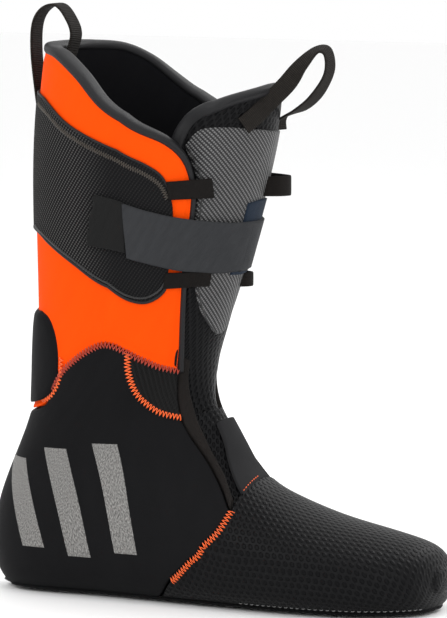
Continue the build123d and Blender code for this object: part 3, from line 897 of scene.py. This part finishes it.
def make_cuff():
    for name, where in SIDES.items():
        rear_bottom = level(where * 180, CUFF_SEAM_REAR_Z, 11)
        bottom = sides(list(reversed(FRONT_CUFF_SEAM)) + REAR_CUFF_SEAM[1:], where) + [rear_bottom]
        top = rim_line(where)
        front = list(reversed(sides(FLAP_FRONT, where))) + [top[0]]
        front[0] = bottom[0]
        rear = [(t, where * 180) for t in np.linspace(rear_bottom[0], top[-1][0], 12)]
        grid = patch(bottom, top, front, rear, (90, 100))
        shell = slab(f"{name}_cuff_cover", grid, CUFF_DEPTH, ORANGE, 1.6, RIGHT_OPEN, wave=quilting)
        over_ankle(shell, *(["cuff_shell"] if where == LATERAL else []), slot="orange_fabric")

        ends = [level(180, z, 13)[0] for z in PANEL_REAR_Z]
        rear = [(t, where * 180) for t in np.linspace(*ends, 6)]
        bottom = sides(PANEL_BOTTOM, where) + [rear[0]]
        top = sides(PANEL_TOP, where) + [rear[-1]]
        grid = patch(bottom, top, sides(PANEL_FRONT, where), rear, (80, 60))
        panel = slab(f"{name}_panel_cover", grid, PANEL_DEPTH, SPACER, 1.2, RIGHT_OPEN)
        riding(panel, "cuff", f"{name}_loop_panel", slot="mesh_fabric")
        make_panel_sewing(name, where)

    make_collar()
    make_lining()
    make_pad()


def quilting(edge):
    """A slight pull inwards beside the seams."""
    return 0.5 * np.exp(-((edge - 4.0) / 2.2) ** 2)


def straight(start, end, shares=tuple(np.linspace(0, 1, 12))):
    """Points on a straight line in side view."""
    return [start + (end - start) * share for share in shares]


def moved_in(points, dx, dz):
    return [(x + dx, z + dz) for x, z in points]


def cord(name, edge, depth, radius, material, count):
    """A round cord along a (t, angle) line, depth below the form."""
    return strand(name, on_form(*np.array(smooth(edge)).T, depth), radius, material, count)


def make_panel_sewing(name, where):
    top = sides(moved_in(PANEL_TOP, -1, -5), where)
    riding(zigzag(f"{name}_panel_top_sewing", top, PANEL_ZIGZAG, BROWN_THREAD, 2.0, 0.25), "cuff")
    low = sides(moved_in(PANEL_BOTTOM, -0.5, 2.6), where)
    riding(cord(f"{name}_panel_edge_cord", low, -2.0, 0.55, BLACK_THREAD, 8), "cuff")
    edge = sides(PANEL_BOTTOM, where) + [level(where * 180, PANEL_REAR_Z[0], 13)]
    riding(cord(f"{name}_panel_piping", edge, -1.2, 1.0, SATIN, 10), "cuff", slot="binding")
    edge = sides(PANEL_TOP, where) + [level(where * 180, PANEL_REAR_Z[1], 13)]
    riding(cord(f"{name}_panel_top_piping", edge, -1.1, 0.8, SATIN, 10), "cuff", slot="binding")


COLLAR_MIDDLE = 4.8  # depth of the middle of the rolled collar
COLLAR_HALF = (3.1, 5.7)  # half its width along the shell, and half its thickness
FLAP_EDGE_SHARE = 0.62  # the same down the front of a flap, as a share


def make_collar():
    """The black band rolled over the rim, from the foot of one flap round to the other."""
    lateral = list(reversed(sides(FLAP_FRONT, LATERAL)))
    start = lateral + rim_line(LATERAL)
    other = list(reversed(sides(FLAP_FRONT, MEDIAL))) + rim_line(MEDIAL)
    edge = np.array(smooth(start + [(t, 360 + angle) for t, angle in reversed(other[:-1])], 10))
    middle = on_form(edge[:, 0], edge[:, 1], COLLAR_MIDDLE)
    shares = np.linspace(0, 1, 360)
    line = spaced(middle, shares)
    outward = on_form(edge[:, 0], edge[:, 1], 0) - on_form(edge[:, 0], edge[:, 1], 8)
    outward = spaced(outward, shares, middle)
    profile = superellipse(COLLAR_HALF[1], COLLAR_HALF[0], 2.8, 28)
    narrow = 1 - (1 - FLAP_EDGE_SHARE) * np.clip((285 - line[:, 2]) / 30, 0, 1)
    around = lengths(profile)
    collar = tube("collar_roll", line, outward, profile, SATIN, around, scale=narrow[:, None])
    over_ankle(collar, "collar_binding", slot="binding")


def make_lining():
    """The inside cloth, one piece round the back from flap to flap, and down to the footbed."""
    for name, where in SIDES.items():
        top = rim_line(where)
        rear = [(t, where * 180) for t in np.linspace(LINING_FOOT_T[1], top[-1][0], 14)]
        bottom = sole_line(*LINING_FOOT_T, where, 10, FOOTBED_Z)
        bottom[-1] = rear[0]
        front = [bottom[0]] + sides(LINING_FRONT + FLAP_FRONT[::-1], where) + [top[0]]
        grid = patch(bottom, top, front, rear, (50, 80))
        lining = slab(f"{name}_inner_cloth", grid, LINING_DEPTH, BLACK_LINING, 0.8)
        nodes = ("cuff_lining",) if where == LATERAL else ("foot_lining",)
        over_ankle(lining, *nodes, slot="lining_fleece")


def make_pad():
    lateral = sides(PAD_SIDE, LATERAL)
    medial = mirrored(lateral)
    round_back = [(t, 360 + angle) for t, angle in medial]
    low = [lateral[0], level(180, PAD_REAR_Z[0], 11), round_back[0]]
    high = [lateral[-1], level(180, PAD_REAR_Z[1], 11), round_back[-1]]
    grid = patch(low, high, lateral, round_back, (60, 44))
    pad = slab("achilles_cushion", grid, PAD_DEPTH, BLACK_SHELL, 5.0, puff=2.9)
    over_ankle(pad, "achilles_pad", slot="smooth_knit")
    for name, where in SIDES.items():
        edge = sides(moved_in(PAD_SIDE, 2.2, 0), where)
        over_ankle(zigzag(f"{name}_pad_seam", edge[:4], PAD_ZIGZAG, ORANGE_THREAD, 0.5))


# ---------------------------------------------------------------- the tongue
TONGUE_CORNER = [(64, 268), (63, 280), (59, 290), (52, 298), (40, 304.5), (20, 309), (0, 311)]
TONGUE_TOP = TONGUE_CORNER + [(-angle, z) for angle, z in reversed(TONGUE_CORNER[:-1])]
TONGUE_FOOT_Z = 99.0


def eased(share):
    """A smooth step from 0 to 1."""
    share = np.clip(share, 0, 1)
    return share**2 * (3 - 2 * share)


def wing_depth(t, angle):
    """How much deeper the tongue runs: its sides tuck behind the flaps, its foot into the boot."""
    tuck = eased((np.abs(angle) - 42) / 16)
    height = on_form(t, angle)[..., 2]
    sink = eased((142 - height) / 24)
    turn = eased((-angle - 12) / 30) * eased((232 - height) / 40)
    return np.maximum(10.6 * tuck, 8.5 * turn) + 5.2 * sink


def tongue_slab(name, depth, material, roll, counts=(70, 90), lower=0.0):
    """A layer of the tongue."""
    top = levels([(angle, z - lower) for angle, z in TONGUE_TOP], 14)
    low = levels([(angle, TONGUE_FOOT_Z) for angle in (30, 12, 0, -12, -30)], 8)
    left = [low[0]] + levels([(36, 122), (46, 150), (58, 190), (62, 225), (64, 250)], 9) + [top[0]]
    grid = patch(low, top, left, mirrored(left), counts)
    t, angle = grid[..., 0], grid[..., 1]
    edge = edge_distance(on_form(t, angle), ALL_SIDES)
    base = wing_depth(t, angle)
    thin = np.clip((on_form(t, angle)[..., 2] - 110) / 60, 0.3, 1)
    thickness = (depth[1] - depth[0]) * thin
    shape = rounded(edge, roll)
    outer = on_form(t, angle, base + depth[0] + thickness / 2 * (1 - shape))
    inner = on_form(t, angle, base + depth[0] + thickness / 2 * (1 + shape))
    return two_layers(name, grid, outer, inner, material)


def make_tongue():
    core = tongue_slab("tongue_cover", TONGUE_DEPTH, TONGUE_CLOTH, 4.0)
    riding(core, "tongue", "tongue_core", slot="embossed_fabric")
    lining = tongue_slab("tongue_inner_cloth", TONGUE_LINING_DEPTH, BLACK_LINING, 0.7, (50, 60), 4.0)
    riding(lining, "tongue", "tongue_lining", slot="lining_fleece")

    edge = levels([(angle - np.sign(angle) * 2, z - 2.5) for angle, z in TONGUE_TOP], 13)
    line = smooth(edge)
    rim = on_form(line[:, 0], line[:, 1], wing_depth(line[:, 0], line[:, 1]) + 2.8)
    profile = superellipse(4.4, 3.4, 2.2, 20)
    roll = tube("tongue_rim_roll", rim, (1, 0, 0.2), profile, SATIN, np.arange(20) * 1.2)
    riding(roll, "tongue", slot="binding")

    make_shield()
    make_straps()
    make_keepers()


SHIELD_TOP = [(57, 276), (50, 286), (38, 287.5), (20, 286), (0, 284), (-24, 283), (-44, 280)]
SHIELD_LEFT = [(14, 162.5), (27, 171), (37, 184), (43, 203), (47, 232), (49, 256), (57, 276)]
SHIELD_RIGHT = [(-2, 163), (-9, 180), (-18, 198), (-32, 228), (-42, 256), (-44, 280)]


def make_shield():
    low = levels([SHIELD_LEFT[0], (5, 161), SHIELD_RIGHT[0]], 12)
    grid = patch(low, levels(SHIELD_TOP, 14), levels(SHIELD_LEFT, 12), levels(SHIELD_RIGHT, 12), (50, 70))
    shield = tongue_overlay("tongue_shield_mesh", grid, SHIELD_DEPTH, SHIELD)
    riding(shield, "tongue", "tongue_shield", slot="grey_mesh")
    inside = [(angle - 2.5, z - 1.5) for angle, z in SHIELD_LEFT]
    line = np.array(smooth(levels(inside, 12)))
    sewn = on_form(line[:, 0], line[:, 1], wing_depth(line[:, 0], line[:, 1]) - 1.1)
    riding(strand("tongue_shield_edge", sewn, 0.45, BLACK_THREAD, 8), "tongue")


def tongue_overlay(name, grid, depth, material, roll=1.0):
    """A thin patch on the tongue that follows its tucked sides."""
    t, angle = grid[..., 0], grid[..., 1]
    extra = wing_depth(t, angle)
    piece = slab(name, grid, depth, material, roll)
    points = np.array([v.co for v in piece.data.vertices]) / MM
    shift = on_form(t, angle, extra) - on_form(t, angle)
    points += np.tile(shift.reshape(-1, 3), (2, 1))
    piece.data.vertices.foreach_set("co", (points * MM).ravel())
    piece.data.update()
    return piece


STRAP_UPPER_FRONT = [(24, 229.5), (-6, 229)]
STRAP_LOWER_FRONT = [(24, 198.5), (-6, 198)]


def make_straps():
    for name, where in SIDES.items():
        high = sides(STRAP_UPPER, where)
        high += levels([(where * angle, z) for angle, z in STRAP_UPPER_FRONT], 13)
        low = sides(STRAP_LOWER, where)
        low += levels([(where * angle, z) for angle, z in STRAP_LOWER_FRONT], 13)
        grid = patch(low, high, [low[0], high[0]], [low[-1], high[-1]], (110, 24))
        strap = slab(f"{name}_strap_cover", grid, STRAP_DEPTH, STRAP_CLOTH, 0.7, RIGHT_OPEN)
        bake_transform(strap)
        nodes = [f"{name}_strap_tail"] + (["strap_band"] if where == LATERAL else [])
        standing_for(strap, nodes)
        make_hook_tab(name, where)
    low = levels(HOOK_PATCH_LOW, 13)
    high = levels(HOOK_PATCH_HIGH, 13)
    grid = patch(low, high, [low[0], high[0]], [low[-1], high[-1]], (30, 30))
    patch_piece = slab("strap_hook_patch", grid, PATCH_DEPTH, PATCH_CLOTH, 0.8)
    riding(patch_piece, "tongue", "strap_patch", slot="hook_tape")


def make_hook_tab(name, where):
    """The dark hook end, with a ragged edge."""
    rng = np.random.default_rng(7)
    zs = np.linspace(216.2, 246.6, 23)
    slope = (zs - 231) * 0.22
    ragged = [side(-61.0 + slope_x + rng.uniform(-0.9, 0.9), z, where) for slope_x, z in zip(slope, zs)]
    front = [side(HOOK_X + 1.5, z - 4.5, where) for z in zs]
    grid = patch([ragged[0], front[0]], [ragged[-1], front[-1]], ragged, front, (20, 60))
    tab = slab(f"{name}_hook_tab", grid, HOOK_DEPTH, HOOK_CLOTH, 0.8)
    riding(tab, f"{name}_strap", f"{name}_strap_hook", slot="hook_tape")


# The medial keepers' arch (x, y), then each one's height, scale, width and last point.
MEDIAL_KEEPER_ARCH = [(22, 4), (33, 10), (35, 19), (24, 28)]
MEDIAL_KEEPERS = {"upper": (250.0, 1.0, 12.0, (6, 37)), "lower": (193.25, 0.8, 8.5, (9.5, 34.5))}


def make_keepers():
    for level_name, outline in (("upper", UPPER_KEEPER), ("lower", LOWER_KEEPER)):
        a, b, c, d = sides(outline, LATERAL)
        grid = patch([a, b], [d, c], [a, d], [b, c], (30, 14))
        keeper = slab(f"{level_name}_keeper_tape", grid, KEEPER_DEPTH, KEEPER_TAPE, 0.5)
        riding(keeper, "tongue", f"lateral_{level_name}_keeper", slot="webbing")
    for level_name, (middle, scale, width, end) in MEDIAL_KEEPERS.items():
        front_x = float(on_form(*level(0, middle, 9))[0])
        shift = front_x - float(on_form(*level(0, 250.0, 9))[0])
        points = MEDIAL_KEEPER_ARCH + [end]
        route = np.array([(x * scale + shift, y * scale, middle) for x, y in points])
        line = spaced(smooth(route), np.linspace(0, 1, 60))
        keeper = band(f"medial_{level_name}_loop", line, (0, 0, 1), width, 1.6, KEEPER_TAPE)
        riding(keeper, "tongue", f"medial_{level_name}_keeper", slot="webbing")


# ---------------------------------------------------------------- pull loops
REAR_LOOP = [
    (-117.5, 285), (-120.5, 305), (-123, 328), (-122, 345), (-116, 354), (-107, 356), (-100, 349),
    (-96, 338), (-101, 322), (-104, 308),
]
REAR_LOOP_Y = -6.0
# The tongue's loop: places on the tongue as (angle, height), then points in the air.
TONGUE_LOOP_NEAR = [(29, 288), (24, 292), (19, 296), (13, 301)]
TONGUE_LOOP_AIR = [
    (44, -5, 312), (53, -3, 324), (61.5, 0, 332.5), (67.5, 2, 331), (67, 5, 319), (57, 9, 305),
    (45, 12, 296),
]
TONGUE_LOOP_FAR = [(-22, 290), (-23, 283)]
# The way its outer face looks at those points, from the near end to the far end.
TONGUE_LOOP_FACING = [
    (0.6, -0.8, 0), (0.6, -0.8, 0), (0.6, -0.8, 0), (0.6, -0.8, 0.1), (0.4, -0.9, 0.3), (0, -0.7, 0.7),
    (0.1, -0.3, 1), (1, -0.1, 0.4), (1, -0.1, -0.4), (0.6, -0.2, -0.8), (0.6, -0.2, -0.8),
    (1, -0.2, -0.3), (1, -0.3, 0),
]


def make_loops():
    route = np.array([(x, REAR_LOOP_Y, z) for x, z in REAR_LOOP], float)
    line = spaced(smooth(route), np.linspace(0, 1, 140))
    loop = band("rear_pull_tape", line, (0, 1, 0), 14.0, 1.7, WEBBING)
    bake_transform(loop)
    standing_for(loop, ("rear_loop", "rear_loop_anchors"))

    near = [on_form(*level(angle, z, 13), -1.7) for angle, z in TONGUE_LOOP_NEAR]
    far = [on_form(*level(angle, z, 13), -1.2) for angle, z in TONGUE_LOOP_FAR]
    route = np.array([*near, *TONGUE_LOOP_AIR, *far], float)
    curve, shares = smooth(route), np.linspace(0, 1, 160)
    line = spaced(curve, shares)
    facing = spaced(smooth(TONGUE_LOOP_FACING), shares, curve)
    across = np.cross(facing, np.gradient(line, axis=0))
    loop = band("tongue_pull_tape", line, across, 11.0, 1.6, WEBBING)
    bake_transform(loop)
    standing_for(loop, ("tongue_loop", "tongue_loop_anchor"))


# ---------------------------------------------------------------- printed bars
def make_bars():
    """Generic slanted bars on the outside of the quarter."""
    bars = {
        "bar_front": [(-52, 30), (-36, 30), (-52, 96), (-68, 96)],
        "bar_middle": [(-84, 26), (-68, 26), (-84, 92), (-100, 92)],
        "bar_rear": [(-116, 30), (-100, 30), (-114, 84), (-130, 84)],
    }
    for name, corners in bars.items():
        a, b, c, d = [np.array(corner, float) for corner in corners]
        across, up = crowded_ends(18), crowded_ends(44)
        grid = np.array([sides(straight(a + (b - a) * u, d + (c - d) * u, up)) for u in across])
        print_piece = slab(name, grid, BAR_DEPTH, BARS, 0.25)
        riding(print_piece, "foot")


# ---------------------------------------------------------------- carried-over CAD nodes
def dress_cad_nodes():
    """Materials for the CAD nodes that stay."""
    looks = {
        "outsole": placed("sole_rubber", (0.006, 0.006, 0.006), (0.014, 0.014, 0.014), 2.0, 0.75),
        "insole_board": placed("board_fibre", (0.30, 0.25, 0.17), (0.42, 0.36, 0.27), 3.0, 0.9),
        "footbed": placed("footbed_felt", (0.030, 0.030, 0.033), (0.060, 0.060, 0.065), 1.2, 0.95),
        "heel_counter": placed("counter_plastic", (0.50, 0.49, 0.46), (0.60, 0.59, 0.56), 4.0, 0.5),
    }
    for name, material in looks.items():
        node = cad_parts[name]
        node.data.materials.clear()
        node.data.materials.append(material)


# ---------------------------------------------------------------- the studio
VIEW_AZIMUTH, VIEW_ELEVATION, VIEW_DISTANCE = radians(26), radians(6), 3.0
LOOK_AT = Vector((0, 0, 0.1758))
SENSOR, LENS = 36.0, 291.8


def make_studio():
    scene = bpy.context.scene
    back = Vector((sin(VIEW_AZIMUTH), -cos(VIEW_AZIMUTH), 0)) * cos(VIEW_ELEVATION)
    back += Vector((0, 0, sin(VIEW_ELEVATION)))
    camera = bpy.data.objects.new("camera", bpy.data.cameras.new("camera"))
    camera.data.lens = LENS
    camera.data.sensor_width = SENSOR
    camera.data.clip_end = 20
    camera.location = LOOK_AT + back * VIEW_DISTANCE
    camera.rotation_mode = "QUATERNION"
    camera.rotation_quaternion = (-back).to_track_quat("-Z", "Y")
    scene.collection.objects.link(camera)
    scene.camera = camera

    bpy.ops.mesh.primitive_plane_add(size=12, location=(0, 0, 0))
    floor = bpy.context.object
    floor.name = "floor"
    paint = bpy.data.materials.new("pale_floor")
    paint.use_nodes = True
    shader = paint.node_tree.nodes["Principled BSDF"]
    shader.inputs["Base Color"].default_value = (0.97, 0.97, 0.97, 1)
    shader.inputs["Roughness"].default_value = 0.6
    floor.data.materials.append(paint)

    scene.view_settings.view_transform = "Standard"
    world = bpy.data.worlds.new("studio")
    scene.world = world
    world.use_nodes = True
    world.node_tree.nodes["Background"].inputs["Color"].default_value = (1, 1, 1, 1)
    world.node_tree.nodes["Background"].inputs["Strength"].default_value = 1.0
    add_light("key", (-0.9, -1.5, 1.5), 1.2, 13)
    add_light("fill", (1.3, -1.1, 0.9), 1.0, 7)
    add_light("rear", (0.6, 1.4, 1.3), 1.2, 14)
    add_light("top", (0.0, 0.0, 2.0), 1.6, 8)


def add_light(name, place, size, power):
    light = bpy.data.lights.new(name, "AREA")
    light.energy = power
    light.size = size
    lamp = bpy.data.objects.new(name, light)
    lamp.location = place
    lamp.rotation_euler = (Vector((0, 0, 0.17)) - Vector(place)).to_track_quat("-Z", "Y").to_euler()
    bpy.context.scene.collection.objects.link(lamp)


make_foot()
make_instep()
make_seams()
make_cuff()
make_tongue()
make_loops()
make_bars()
dress_cad_nodes()
make_studio()
